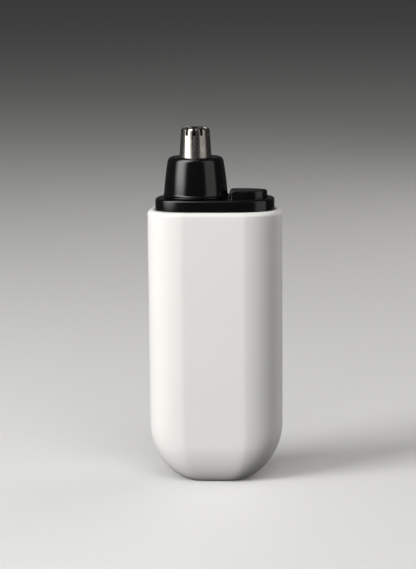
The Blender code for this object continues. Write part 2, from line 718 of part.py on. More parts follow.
def make_dome():
    """Pull-off dome of the head, with a small flare at its base and a hole for the cutter."""
    slope = (DOME_BASE_RADIUS - DOME_SHOULDER_RADIUS) / (DOME_TOP - DOME_BASE)
    lean = 6.4
    corner = (DOME_SHOULDER_RADIUS + (slope - 1) * DOME_FILLET, DOME_TOP - DOME_FILLET)
    hole = CUTTER_BASE_RADIUS + RUN_GAP
    foot = DOME_BASE_RADIUS + DOME_FLARE
    inner = NECK_RADIUS + 0.95
    profile = [(hole, DOME_TOP)]
    profile += arc(corner, DOME_FILLET, 90, lean, 6)
    profile += [(DOME_BASE_RADIUS - 0.05, DOME_BASE + 0.7), (foot, DOME_BASE + 0.25), (foot, DOME_BASE)]
    profile += [(inner, DOME_BASE), (inner - 0.5, CUTTER_FLANGE_Z - 0.3)]
    profile += [(inner - 0.75, DOME_TOP - DOME_ROOF), (hole, DOME_TOP - DOME_ROOF)]
    return turned("head_dome", DRIVE_X, profile, black_gloss(), steps=48)


def cutter_radius(height):
    share = (height - DOME_TOP) / (CUTTER_TOP - DOME_TOP)
    return CUTTER_BASE_RADIUS + (CUTTER_TOP_RADIUS - CUTTER_BASE_RADIUS) * share


def make_cutter():
    """Fixed outer cutter: a thin steel cap with a flange, slotted down from its crown."""
    crown = (CUTTER_TOP_RADIUS - CROWN_RADIUS, CUTTER_TOP - CROWN_RADIUS)
    bottom = CUTTER_FLANGE_Z
    profile = [(CROWN_HOLE, CUTTER_TOP)]
    profile += arc(crown, CROWN_RADIUS, 90, 0, 5)
    profile += [(cutter_radius(bottom + 0.8), bottom + 0.8), (CUTTER_FLANGE_RADIUS, bottom + 0.6)]
    profile += [(CUTTER_FLANGE_RADIUS, bottom), (cutter_radius(bottom) - CUTTER_WALL, bottom)]
    profile += arc(crown, CROWN_RADIUS - CUTTER_WALL, 0, 90, 3)
    profile += [(CROWN_HOLE, CUTTER_TOP - CUTTER_WALL)]
    cutter = turned("cutter_cap", DRIVE_X, profile, steel(), steps=48)
    low = (CROWN_HOLE + 0.65, -SLOT_WIDTH / 2, CUTTER_TOP - SLOT_DEPTH)
    high = (CUTTER_BASE_RADIUS + 2, SLOT_WIDTH / 2, CUTTER_TOP + 1)
    for i in range(SLOT_COUNT):
        slot = block(f"crown_slot_{i}", low, high)
        turn_about_drive(SLOT_TURN + 2 * pi * i / SLOT_COUNT, slot)
        cut(cutter, slot)
    return cutter


def make_head(pivot):
    """The parts that pull off together: dome, cutter and the ring that keeps the cutter in."""
    top = CUTTER_FLANGE_Z - REST_GAP
    retainer = washer("cutter_retainer", DRIVE_X, 5.45, 4.1, top - 1.05, top, black_plastic(), steps=40)
    ride(pivot, make_dome(), make_cutter(), retainer)


# ------------------------------------------------------------ button and switch


def make_button(pivot):
    """Button cap with a rounded top edge, a flange under the deck and a stem over the switch."""
    flange, shoulder = button_outline(-FLANGE_REACH), BUTTON_TOP - BUTTON_EDGE_RADIUS
    levels = [(FLANGE_BOTTOM, flange), (FLANGE_TOP, flange), (FLANGE_TOP, button_outline())]
    for inset, rise in arc((BUTTON_EDGE_RADIUS, 0), BUTTON_EDGE_RADIUS, 180, 90, 3):
        levels.append((shoulder + rise, button_outline(inset)))
    cap = loft("button_cap", levels, black_gloss())
    join(cap, upright("button_stem", BUTTON_X, 0, PLUNGER_TOP + REST_GAP, FLANGE_BOTTOM + 0.3, 1.2))
    ride(pivot, cap)


def make_switch(pivot):
    """Switch board on the chassis plate, the switch on it and the switch's own plunger."""
    block("switch_board", (3.4, -4.2, PLATE_TOP + REST_GAP), (12.0, 4.2, SWITCH_BOARD_TOP), board_green())
    half, bore = 2.3, 1.35
    low = (BUTTON_X - half, -half, SWITCH_BOARD_TOP + 0.1)
    housing = block("switch_housing", low, (BUTTON_X + half, half, SWITCH_TOP), chip_black())
    well_bottom = SWITCH_TOP - 1.6
    cut(housing, upright("switch_bore", BUTTON_X, 0, well_bottom, SWITCH_TOP + 1, bore, sides=28))
    foot = well_bottom + BUTTON_TRAVEL + REST_GAP
    plunger = upright("switch_plunger", BUTTON_X, 0, foot, PLUNGER_TOP, bore - RUN_GAP, grey_plastic())
    ride(pivot, plunger)


# ------------------------------------------------------------ power and electronics


def make_cell():
    """Lithium cell with its top insulator and the nickel tabs at both ends."""
    edge = 0.4
    turned("battery_cell", CELL_X, [
        (0.0, CELL_TOP), (CELL_RADIUS - edge, CELL_TOP), (CELL_RADIUS, CELL_TOP - edge),
        (CELL_RADIUS, CELL_BOTTOM + edge), (CELL_RADIUS - edge, CELL_BOTTOM), (0.0, CELL_BOTTOM),
    ], cell_wrap(), steps=36)
    washer("cell_insulator", CELL_X, 4.5, 2.2, CELL_TOP + 0.05, CELL_TOP + 0.35, grey_plastic())
    left, right = CELL_X - 1.5, CELL_X + 1.5
    block("cell_tab_top", (left, -3.9, CELL_TOP + 0.45), (right, 3.9, CELL_TOP + 0.65), plated())
    block("cell_tab_bottom", (left, -3.4, CELL_BOTTOM - 0.55), (right, 3.4, CELL_BOTTOM - 0.3), plated())


def make_main_board():
    """Board with a lower tongue behind the charging socket, and the parts on its front."""
    board = block("main_board", (-11.6, BOARD_FRONT, 13.0), (2.9, BOARD_BACK, BOARD_TOP), board_green())
    join(board, block("board_tongue", (-6.0, BOARD_FRONT, 3.6), (5.8, BOARD_BACK, 13.4)))
    for number, z in BOARD_SCREWS.items():
        hole = ((BOARD_SCREW_X, 0, z), (BOARD_SCREW_X, 5, z))
        cut(board, rod(f"board_hole_{number}", *hole, 0.8, sides=16))
    mounted("charge_controller", (-10.6, 20.0), (3.4, 3.4), 0.9, chip_black())
    mounted("motor_driver", (-2.4, 22.0), (3.0, 4.0), 1.0, chip_black())
    mounted("charge_lamp", (-2.0, 10.2), (1.4, 0.8), 0.7, white_shell())


def mounted(name, corner, size, height, look):
    """A component on the front of the main board, from its lower left corner in X and Z."""
    x, z = corner
    face = BOARD_FRONT - 0.1
    return block(name, (x, face - height, z), (x + size[0], face, z + size[1]), look)


def make_charging_socket():
    """Receptacle shell over the slot in the foot, with its contact tongue inside."""
    wall, back = 0.3, 0.9
    outline = stadium(SOCKET_HALF_WIDTH, SOCKET_HALF_DEPTH)
    shell = prism("socket_shell", outline, SOCKET_BOTTOM, SOCKET_TOP, steel())
    hollow = stadium(SOCKET_HALF_WIDTH - wall, SOCKET_HALF_DEPTH - wall)
    cut(shell, prism("socket_hollow", hollow, SOCKET_BOTTOM - 1, SOCKET_TOP - back))
    low = (-3.3, -0.35, SOCKET_BOTTOM + 1.0)
    block("socket_tongue", low, (3.3, 0.35, SOCKET_TOP - back - REST_GAP), black_plastic())


def make_wires():
    """Wires along routes chosen by hand through the gaps between motor, cell, board and sleeve."""
    red, black, grey = (0.55, 0.04, 0.03), (0.02, 0.02, 0.02), (0.55, 0.55, 0.55)
    for name, colour, side, pad_x in (("red", red, -1, -8.9), ("black", black, 1, 0.0)):
        tab = DRIVE_X + side * TERMINAL_REACH
        tube(f"motor_wire_{name}", [
            (tab, -0.75, 37.4), (tab, -1.3, 36.6), (tab, -1.5, 35.6),
            (pad_x, -1.2, 34.0), (pad_x, 0.2, 33.0), (pad_x, 1.15, 32.6),
        ], WIRE_RADIUS, wire_cover(name, colour))
    tube("cell_wire_red", [
        (8.6, -4.4, 56.0), (8.5, -5.3, 55.9), (8.2, -5.95, 54.8), (7.4, -6.1, 52.0), (4.6, -6.1, 45.0),
        (2.6, -6.5, 37.0), (0.6, -5.6, 33.0), (-0.6, -2.6, 30.0), (-1.0, 0.2, 28.8), (-1.0, 1.15, 28.4),
    ], WIRE_RADIUS, wire_cover("red", red))
    tube("cell_wire_black", [
        (7.6, -4.1, 15.0), (6.6, -4.6, 14.8), (4.8, -4.7, 14.0), (3.2, -3.9, 13.4), (2.4, -1.8, 13.6),
        (2.0, 0.2, 14.3), (2.0, 1.15, 14.6),
    ], WIRE_RADIUS, wire_cover("black", black))
    tube("switch_wire", [
        (10.2, -4.7, 62.3), (10.2, -5.5, 62.2), (10.2, -6.4, 61.8), (10.2, -6.9, 60.6), (10.0, -7.0, 56.0),
        (9.0, -6.8, 48.0), (6.4, -6.9, 38.0), (2.6, -6.4, 30.0), (-0.6, -3.4, 22.6), (-3.4, -0.6, 20.2),
        (-3.4, 1.15, 19.8),
    ], WIRE_RADIUS, wire_cover("grey", grey))


def main():
    start_scene()
    make_sleeve()
    make_deck()
    make_seals()
    make_chassis()
    make_screws()
    make_motor_case()
    make_motor_inside()
    make_cell()
    make_main_board()
    make_charging_socket()
    make_wires()
    make_head(pivot_at("head_slide", DRIVE_X))
    rotor = pivot_at("rotor_axis", DRIVE_X)
    make_rotor(rotor)
    make_drive(rotor)
    make_button(pivot_at("button_slide", BUTTON_X))
    make_switch(pivot_at("plunger_slide", BUTTON_X))


main()
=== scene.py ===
"""Looks of the nose hair trimmer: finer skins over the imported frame, materials, floor, light and camera.

Lengths named here are in millimetres, and reach Blender in metres through MM. Only the light panels
are given in metres. What the frame already holds, such as the height of the shell or the axis of
the head, is read from it.
"""

import json
from math import copysign, cos, pi, radians, sin

import bmesh
import bpy
from mathutils import Matrix, Quaternion, Vector


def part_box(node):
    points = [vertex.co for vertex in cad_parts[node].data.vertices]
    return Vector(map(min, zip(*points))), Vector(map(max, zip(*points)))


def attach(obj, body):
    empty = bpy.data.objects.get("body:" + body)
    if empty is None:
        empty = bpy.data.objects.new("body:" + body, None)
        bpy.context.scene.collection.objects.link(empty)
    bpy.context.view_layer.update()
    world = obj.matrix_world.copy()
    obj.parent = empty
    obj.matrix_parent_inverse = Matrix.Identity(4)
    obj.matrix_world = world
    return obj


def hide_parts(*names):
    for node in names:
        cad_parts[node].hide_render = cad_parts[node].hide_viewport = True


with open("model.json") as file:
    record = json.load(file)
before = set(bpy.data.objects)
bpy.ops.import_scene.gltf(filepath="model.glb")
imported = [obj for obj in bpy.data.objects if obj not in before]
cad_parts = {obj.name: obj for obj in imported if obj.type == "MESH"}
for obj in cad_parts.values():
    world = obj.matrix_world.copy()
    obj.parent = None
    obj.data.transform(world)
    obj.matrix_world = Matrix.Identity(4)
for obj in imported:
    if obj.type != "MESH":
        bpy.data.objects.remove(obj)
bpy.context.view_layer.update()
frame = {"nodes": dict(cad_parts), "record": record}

MM = 0.001
BEVEL_ANGLE = 40


def box_mm(node):
    """Lowest and highest corner of a CAD node in millimetres."""
    low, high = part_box(node)
    return Vector(low) / MM, Vector(high) / MM


SHELL_HIGH = box_mm("body_sleeve")[1]
DECK_LOW, DECK_HIGH = box_mm("top_deck")
DOME_LOW, DOME_HIGH = box_mm("head_dome")
CUTTER_LOW, CUTTER_HIGH = box_mm("cutter_cap")
BUTTON_LOW, BUTTON_HIGH = box_mm("button_cap")
SOCKET_LOW, SOCKET_HIGH = box_mm("socket_shell")

# Shell: a rounded oblong with flat front and back. FOOT_SIDE and FOOT_FRONT are (rise, inset): how high
# the foot's rounding starts above the ground, and how far it has come in at the ground.
SHELL_POWER = 3.1
SHELL_HALF_DEPTH = 10.47
SHELL_DRAFT = 0.1
CREASE_SOFTNESS, FOOT_CREASE_SOFTNESS = 0.06, 0.6
RIM_RADIUS = 1.1
RIM_INNER_RADIUS = 0.2
FOOT_POWER = 1.75
FOOT_SIDE = (12.9, 9.9)
FOOT_FRONT = (9.2, 3.9)
CAVITY = (14.7, 8.7)
CAVITY_POWER = 2.9
CAVITY_FOOT_EASE = 1.0
FLOOR_HEIGHT = 1.9
CHARGE_GAP = (0.33, 0.32)
CHARGE_FLARE, CHARGE_FLARE_TOP = 0.4, 0.25
RING_POINTS, RING_REFINING = 360, 4

# Deck
DECK_PLATE_TOP = SHELL_HIGH.z + 2.9
DECK_PLATE_BOTTOM = DECK_PLATE_TOP - 1.6
DECK_EDGE_WIDTH, DECK_EDGE_DROP = 1.2, 0.55
SKIRT_WALL, SKIRT_CHAMFER = 1.2, 0.25
GASKET_Z = (64.4, 65.6)
GASKET_DEPTH = 0.45
NECK_RADIUS, NECK_CORE, NECK_BORE = 5.3, 1.8, 2.45
NECK_EDGE, NECK_FILLET = 0.4, 0.35
NECK_GROOVE_RADIUS, NECK_GROOVE_Z = 4.95, (71.4, 72.4)

# Head
DRIVE_X = (DOME_LOW.x + DOME_HIGH.x) / 2
DOME_BASE_RADIUS = 7.8
DOME_SHOULDER_RADIUS = 6.7
DOME_FILLET = 1.3
DOME_BULGE = 0.1
DOME_SHOULDER_LEAN = 9.6
DOME_HOLE, DOME_HOLE_CHAMFER = 4.05, 0.1
DOME_MOUTH, DOME_MOUTH_CHAMFER = 6.25, 0.2
DOME_INSIDE = [(5.75, 76.9), (5.5, 78.1)]
CUTTER_BASE_RADIUS = 3.9
CUTTER_TOP_RADIUS = 3.5
CUTTER_WALL = 0.35
CUTTER_FLANGE_RIM, CUTTER_FLANGE_ROOT = 0.6, 0.8
CROWN_RADIUS = 0.9
CROWN_HOLE, CROWN_HOLE_CHAMFER = 1.5, 0.05
SLOT_COUNT = 12
SLOT_WIDTH = 0.7
SLOT_DEPTH = 1.9
SLOT_START, SLOT_END = 2.1, 6.0
SLOT_TURN = radians(-2.0)
BLADE_TURN = SLOT_TURN + pi / SLOT_COUNT
BLADE_GAP, BLADE_TAPER = 0.15, 0.1
BLADE_BEVEL_WIDTH, BLADE_BEVEL_DROP = 0.75, 0.65
WING_HALF_WIDTH = 0.3

# Dome's foot, placed (out, up) from the edge of its base: the hollow of the flare, then the round lip
FLARE_CENTRE, FLARE_RADIUS = (0.45, 0.95), 0.5
LIP_CENTRE, LIP_RADIUS = (0.03, 0.14), 0.12

# Drive: the key under the blade carrier sits in a slot in the coupler's top
COUPLER_RADIUS = 2.1
COUPLER_BORE, COUPLER_BORE_TOP = 0.95, 66.7
KEY_SLOT_HALF_WIDTH, KEY_SLOT_BOTTOM = 0.55, 71.4
KEY_HALF_WIDTH, KEY_HALF_DEPTH, KEY_TOP = 0.4, 0.9, 74.0
CARRIER_STEM, CARRIER_STEM_BOTTOM = 1.0, 73.5
CARRIER_HUB = 1.3
COLLAR_RADIUS, COLLAR_Z = 2.5, (77.4, 78.2)
SPRING_RADIUS, SPRING_WIRE_RADIUS = 1.55, 0.22
SPRING_TURNS, SPRING_CLOSED_SHARE = 5.5, 0.16

# Button: square towards the head and round at the right, over a stem on the switch's axis
BUTTON_LEFT, BUTTON_MIDDLE, BUTTON_RIGHT = 3.72, 7.28, 12.78
BUTTON_HALF_DEPTH = 3.8
BUTTON_LEFT_POWER, BUTTON_RIGHT_POWER = 10, 2
BUTTON_EDGE = 0.35
FLANGE_REACH = 0.6
FLANGE_Z = (DECK_PLATE_BOTTOM - 1.1, DECK_PLATE_BOTTOM - 0.3)
STEM_X, STEM_RADIUS, STEM_CHAMFER = 8.12, 1.2, 0.1
WELL_GAP, WELL_EDGE = 0.2, 0.1

# Charging contacts
CONTACT_COUNT, CONTACT_PITCH = 12, 0.5
CONTACT_SIZE = (0.26, 0.06, 3.6)
CONTACT_PROUD, CONTACT_HEIGHT = 0.01, 2.3

# Camera, floor and lights, angles in degrees
CAMERA_LENS, CAMERA_SENSOR = 132.9, 36.0
CAMERA_AZIMUTH = 3.5
CAMERA_ELEVATION = 8.7
CAMERA_DISTANCE = 515.8
CAMERA_AIM = (-1.86, 0.0, 47.84)
CAMERA_ROLL = 0.45
WORLD_STRENGTH = 0.05
PANEL_AIM = SHELL_HIGH.z * 0.6
FLOOR_COLOUR, FLOOR_ROUGHNESS = (0.8, 0.8, 0.79), 0.65
FLOOR_SIZE = 12000


# ---------------------------------------------------------------- mesh tools


def add_object(name, data):
    """A new object in the scene for a mesh, curve, light or camera."""
    made = bpy.data.objects.new(name, data)
    bpy.context.scene.collection.objects.link(made)
    return made


def settled(obj, sharp=35.0):
    """Applies the modifiers, removes the helpers they used, and shades smooth but for sharp edges."""
    helpers = [m.object for m in obj.modifiers if m.type == "BOOLEAN"]
    graph = bpy.context.evaluated_depsgraph_get()
    mesh = bpy.data.meshes.new_from_object(obj.evaluated_get(graph))
    mesh.name = obj.name
    obj.modifiers.clear()
    obj.data = mesh
    for helper in helpers:
        bpy.data.objects.remove(helper, do_unlink=True)
    mesh.polygons.foreach_set("use_smooth", [True] * len(mesh.polygons))
    mesh.set_sharp_from_angle(angle=radians(sharp))
    return obj


def boolean(obj, other, operation):
    """Cuts a piece with a helper, joins them or keeps what they share, once the piece is settled."""
    step = obj.modifiers.new(operation.lower(), "BOOLEAN")
    step.operation = operation
    step.solver = "EXACT"
    step.object = other
    other.hide_render = True
    other.hide_set(True)


def soften(obj, width, segments=3):
    """Rounds the sharp edges."""
    step = obj.modifiers.new("soften", "BEVEL")
    step.width = width * MM
    step.segments = segments
    step.limit_method = "ANGLE"
    step.angle_limit = radians(BEVEL_ANGLE)
    step.use_clamp_overlap = True


def from_bmesh(name, built):
    bmesh.ops.recalc_face_normals(built, faces=built.faces)
    mesh = bpy.data.meshes.new(name)
    built.to_mesh(mesh)
    built.free()
    return add_object(name, mesh)


def skin(name, rings, closed=False):
    """A skin through rings of points. The ends are capped, or the last ring joins the first."""
    built = bmesh.new()
    made = [[built.verts.new(Vector(point) * MM) for point in ring] for ring in rings]
    pairs = list(zip(made, made[1:]))
    if closed:
        pairs.append((made[-1], made[0]))
    else:
        built.faces.new(made[0][::-1])
        built.faces.new(made[-1])
    for lower, upper in pairs:
        for i in range(len(lower)):
            j = (i + 1) % len(lower)
            built.faces.new((lower[i], lower[j], upper[j], upper[i]))
    return from_bmesh(name, built)


def turned(name, profile, axis_x, points=192):
    """A skin of circles through (radius, height) points about a vertical axis.

    A profile that starts or ends on the axis makes a solid, and that point is left to the cap.
    """
    solid = profile[0][0] == 0 or profile[-1][0] == 0
    rings = []
    for radius, height in profile:
        if radius > 0:
            turns = [2 * pi * i / points for i in range(points)]
            rings.append([(axis_x + radius * cos(a), radius * sin(a), height) for a in turns])
    return skin(name, rings, closed=not solid)


def quarter(steps):
    """Angles in equal steps from 0 to a quarter turn."""
    return [pi / 2 * i / steps for i in range(steps + 1)]


def arc(centre, radius, start, end, steps):
    """Points of an arc in a profile, angles in degrees from +radius towards +height."""
    angles = [radians(start + (end - start) * i / steps) for i in range(steps + 1)]
    return [(centre[0] + radius * cos(a), centre[1] + radius * sin(a)) for a in angles]


def block(name, low, high):
    """A block between two corners."""
    built = bmesh.new()
    bmesh.ops.create_cube(built, size=1.0)
    low, high = Vector(low), Vector(high)
    bmesh.ops.scale(built, vec=(high - low) * MM, verts=built.verts)
    bmesh.ops.translate(built, vec=(low + high) / 2 * MM, verts=built.verts)
    return from_bmesh(name, built)


def drive_block(name, half_width, half_depth, bottom, top):
    """A block centred on the drive's axis."""
    low = (DRIVE_X - half_width, -half_depth, bottom)
    return block(name, low, (DRIVE_X + half_width, half_depth, top))


def turn_about(obj, axis_x, angle):
    """Turns an object's mesh about a vertical axis."""
    centre = Matrix.Translation((axis_x * MM, 0, 0))
    obj.data.transform(centre @ Matrix.Rotation(angle, 4, "Z") @ centre.inverted())


# ---------------------------------------------------------------- outlines


def soft_minimum(value, limit, softness):
    """The smaller of two numbers, with a rounded change from one to the other."""
    share = max(softness - abs(value - limit), 0.0) / softness
    return min(value, limit) - share * share * softness / 4


def evenly_spaced(outline, count):
    """The same closed outline with points at equal steps along it."""
    corners = [Vector(point) for point in outline + outline[:1]]
    lengths = [0.0]
    for a, b in zip(corners, corners[1:]):
        lengths.append(lengths[-1] + (b - a).length)
    spaced, k = [], 0
    for i in range(count):
        target = lengths[-1] * i / count
        while lengths[k + 1] < target:
            k += 1
        share = (target - lengths[k]) / (lengths[k + 1] - lengths[k])
        spaced.append(corners[k].lerp(corners[k + 1], share))
    return spaced


def fine_angles():
    """Angles right round, closer together than the points of a ring."""
    count = RING_POINTS * RING_REFINING
    return [2 * pi * i / count for i in range(count)]


def squared(value, power):
    """A cosine or sine that follows an oblong's outline, squarer as the power goes up from 2."""
    return copysign(abs(value) ** (2 / power), value)


def oval(half_width, half_depth, power, facet=None, softness=None):
    """A rounded oblong, starting from +X. A facet flattens its front and back, with a soft crease."""
    outline = []
    for angle in fine_angles():
        x = half_width * squared(cos(angle), power)
        y = half_depth * abs(squared(sin(angle), power))
        if facet:
            y = soft_minimum(y, facet, softness)
        outline.append((x, copysign(y, sin(angle))))
    return evenly_spaced(outline, RING_POINTS)


def at_height(outline, height):
    """The ring of points that a flat outline makes at a height."""
    return [(x, y, height) for x, y in outline]


def stadium(half_length, half_width):
    """A slot outline, long in X, with round ends."""
    steps = 24
    straight = half_length - half_width
    outline = []
    for side in (1, -1):
        for i in range(steps + 1):
            angle = -pi / 2 + pi * i / steps
            outline.append((side * (straight + half_width * cos(angle)), side * half_width * sin(angle)))
    return outline


def drawn_in(height, rounding):
    """How far the foot's rounding (rise, inset) has come in at a height above its lowest point."""
    rise, inset = rounding
    below = max(0.0, (rise - height) / rise)
    return inset * (1 - (1 - below**FOOT_POWER) ** (1 / FOOT_POWER))


def foot_heights(bottom, rise, steps):
    """Heights that keep steps even round the foot's rounding, close together near the ground."""
    return [bottom + rise * (1 - cos(angle)) for angle in quarter(steps)]


# ---------------------------------------------------------------- pieces of the handle


def shell_outline(height, inset=0.0):
    """The shell's outline at a height. Its creases grow softer as the foot draws in."""
    draft, foot = SHELL_DRAFT * (1 - height / SHELL_HIGH.z), drawn_in(height, FOOT_SIDE)
    side = inset + draft + foot
    half_depth = SHELL_HALF_DEPTH - inset - drawn_in(height, FOOT_FRONT)
    facet = half_depth * SHELL_HIGH.y / SHELL_HALF_DEPTH
    softness = CREASE_SOFTNESS + (FOOT_CREASE_SOFTNESS - CREASE_SOFTNESS) * foot / FOOT_SIDE[1]
    return oval(SHELL_HIGH.x - side, half_depth, SHELL_POWER, facet, softness)


def cavity_outline(height):
    """The cavity's outline at a height. It draws in above the floor, a little less than the foot does."""
    side, front = [
        drawn_in(height - FLOOR_HEIGHT, (rise - FLOOR_HEIGHT, inset - CAVITY_FOOT_EASE))
        for rise, inset in (FOOT_SIDE, FOOT_FRONT)
    ]
    return oval(CAVITY[0] - side, CAVITY[1] - front, CAVITY_POWER)


def shell_rings():
    """Outside up from the foot, over the rim and down the cavity to its floor."""
    foot_steps, wall_steps, cavity_steps = 44, 24, 20
    top = SHELL_HIGH.z
    rim = top - RIM_RADIUS
    heights = foot_heights(0.0, FOOT_SIDE[0], foot_steps)
    heights += [FOOT_SIDE[0] + (rim - FOOT_SIDE[0]) * i / wall_steps for i in range(1, wall_steps)]
    rings = [at_height(shell_outline(z), z) for z in heights]
    for angle in quarter(12):
        edge = shell_outline(rim, RIM_RADIUS * (1 - cos(angle)))
        rings.append(at_height(edge, rim + RIM_RADIUS * sin(angle)))
    for angle in quarter(6):
        out = RIM_INNER_RADIUS * (1 - sin(angle))
        edge = oval(CAVITY[0] + out, CAVITY[1] + out, CAVITY_POWER)
        rings.append(at_height(edge, top - RIM_INNER_RADIUS * (1 - cos(angle))))
    inner = foot_heights(FLOOR_HEIGHT, FOOT_SIDE[0] - FLOOR_HEIGHT, cavity_steps)
    rings += [at_height(cavity_outline(z), z) for z in reversed(inner)]
    return rings


def make_shell():
    """The sleeve, with a flared charging slot through its floor."""
    shell = skin("shell", shell_rings())
    half_length, half_width = SOCKET_HIGH.x + CHARGE_GAP[0], SOCKET_HIGH.y + CHARGE_GAP[1]
    mouth = stadium(half_length, half_width)
    flared = stadium(half_length + CHARGE_FLARE, half_width + CHARGE_FLARE)
    rings = [at_height(flared, CHARGE_FLARE_TOP - CHARGE_FLARE), at_height(mouth, CHARGE_FLARE_TOP)]
    rings.append(at_height(mouth, FLOOR_HEIGHT + 1))
    boolean(shell, skin("shell_slot", rings), "DIFFERENCE")
    return settled(shell)


def deck_outline(inset):
    return oval(DECK_HIGH.x - inset, DECK_HIGH.y - inset, CAVITY_POWER)


def make_neck():
    """The deck's neck, rising from inside the plate, before it is bored."""
    foot = DECK_PLATE_BOTTOM + 0.5
    profile = [(NECK_RADIUS + NECK_FILLET, foot), (NECK_CORE, foot), (NECK_CORE, DECK_HIGH.z)]
    profile += arc((NECK_RADIUS - NECK_EDGE, DECK_HIGH.z - NECK_EDGE), NECK_EDGE, 90, 0, 6)
    profile += arc((NECK_RADIUS + NECK_FILLET, DECK_PLATE_TOP + NECK_FILLET), NECK_FILLET, 180, 270, 6)
    return turned("deck_neck", profile, DRIVE_X)


def make_well():
    """A cutter for the button's well, wider under the plate where the button's flange moves."""
    recess, edge = WELL_GAP + FLANGE_REACH, DECK_PLATE_TOP - WELL_EDGE
    steps = [(DECK_LOW.z - 1, recess), (DECK_PLATE_BOTTOM, recess)]
    steps.append((DECK_PLATE_BOTTOM + WELL_EDGE, WELL_GAP))
    steps += [(edge, WELL_GAP), (edge + 2 * WELL_EDGE, WELL_GAP + 2 * WELL_EDGE)]
    return skin("deck_well", [at_height(button_outline(-reach), z) for z, reach in steps])


def make_deck():
    """The plate with its skirt, gasket groove and bored neck, and the well that the button moves in."""
    gasket_bottom, gasket_top = GASKET_Z
    steps = [(DECK_LOW.z, SKIRT_CHAMFER), (DECK_LOW.z + SKIRT_CHAMFER, 0.0)]
    steps += [(gasket_bottom, 0.0), (gasket_bottom, GASKET_DEPTH)]
    steps += [(gasket_top, GASKET_DEPTH), (gasket_top, 0.0)]
    for angle in quarter(12):
        drop = DECK_EDGE_DROP * (1 - sin(angle))
        steps.append((DECK_PLATE_TOP - drop, DECK_EDGE_WIDTH * (1 - cos(angle))))
    deck = skin("deck", [at_height(deck_outline(inset), z) for z, inset in steps])
    inside = [at_height(deck_outline(SKIRT_WALL), z) for z in (DECK_LOW.z - 1, DECK_PLATE_BOTTOM)]
    boolean(deck, skin("deck_inside", inside), "DIFFERENCE")
    boolean(deck, make_neck(), "UNION")
    above, below = 90, 50
    bore = [(NECK_BORE, above), (NECK_BORE, below), (0, below)]
    boolean(deck, turned("deck_bore", bore, DRIVE_X), "DIFFERENCE")
    groove_bottom, groove_top = NECK_GROOVE_Z
    outside = NECK_RADIUS + 1.7
    groove = [(outside, groove_top), (outside, groove_bottom)]
    groove += [(NECK_GROOVE_RADIUS, groove_bottom), (NECK_GROOVE_RADIUS, groove_top)]
    boolean(deck, turned("deck_neck_groove", groove, DRIVE_X), "DIFFERENCE")
    boolean(deck, make_well(), "DIFFERENCE")
    return settled(deck)


def button_outline(inset):
    """The button's outline drawn in by an inset or, for what goes round it, let out by one."""
    outline = []
    for angle in fine_angles():
        right = cos(angle) > 0
        power = BUTTON_RIGHT_POWER if right else BUTTON_LEFT_POWER
        reach = (BUTTON_RIGHT - BUTTON_MIDDLE if right else BUTTON_MIDDLE - BUTTON_LEFT) - inset
        x = BUTTON_MIDDLE + reach * squared(cos(angle), power)
        outline.append((x, (BUTTON_HALF_DEPTH - inset) * squared(sin(angle), power)))
    return evenly_spaced(outline, RING_POINTS)


def make_button():
    """The cap with the flange that keeps it in, on a stem that reaches down to the switch."""
    (flange_bottom, flange_top), round_top = FLANGE_Z, BUTTON_HIGH.z - BUTTON_EDGE
    steps = [(flange_bottom, -FLANGE_REACH), (flange_top, -FLANGE_REACH), (flange_top, 0.0)]
    for angle in quarter(10):
        steps.append((round_top + BUTTON_EDGE * sin(angle), BUTTON_EDGE * (1 - cos(angle))))
    button = skin("button", [at_height(button_outline(inset), z) for z, inset in steps])
    stem = [(STEM_RADIUS, (flange_bottom + flange_top) / 2), (STEM_RADIUS, BUTTON_LOW.z + STEM_CHAMFER)]
    stem += [(STEM_RADIUS - STEM_CHAMFER, BUTTON_LOW.z), (0.0, BUTTON_LOW.z)]
    boolean(button, turned("button_stem", stem, STEM_X), "UNION")
    return settled(button)


def make_socket():
    """Charging receptacle: shell with a rolled mouth, tongue, and gold contacts on both of its faces."""
    half_width, half_depth = SOCKET_HIGH.x, SOCKET_HIGH.y
    low, high = SOCKET_LOW.z, SOCKET_HIGH.z
    wall, back_wall, back_chamfer = 0.3, 0.9, 0.2
    roll = wall / 2
    steps = [(high, back_chamfer), (high - back_chamfer, 0.0)]
    for i in range(9):
        angle = pi * i / 8
        steps.append((low + roll * (1 - sin(angle)), roll * (1 - cos(angle))))
    steps.append((high - back_wall, wall))
    rings = [at_height(stadium(half_width - inset, half_depth - inset), z) for z, inset in steps]
    shell = settled(skin("charging_shell", rings))
    tongue_low, tongue_high = box_mm("socket_tongue")
    tongue = block("charging_tongue", tongue_low, tongue_high)
    soften(tongue, 0.12)
    contacts = bmesh.new()
    for side in (1, -1):
        for i in range(CONTACT_COUNT):
            x = CONTACT_PITCH * (i - (CONTACT_COUNT - 1) / 2)
            middle = (x, side * (tongue_high.y + CONTACT_PROUD), tongue_low.z + CONTACT_HEIGHT)
            made = bmesh.ops.create_cube(contacts, size=1.0)["verts"]
            bmesh.ops.scale(contacts, vec=Vector(CONTACT_SIZE) * MM, verts=made)
            bmesh.ops.translate(contacts, vec=Vector(middle) * MM, verts=made)
    return shell, settled(tongue), from_bmesh("charging_contacts", contacts)


# ---------------------------------------------------------------- pieces of the head and the drive


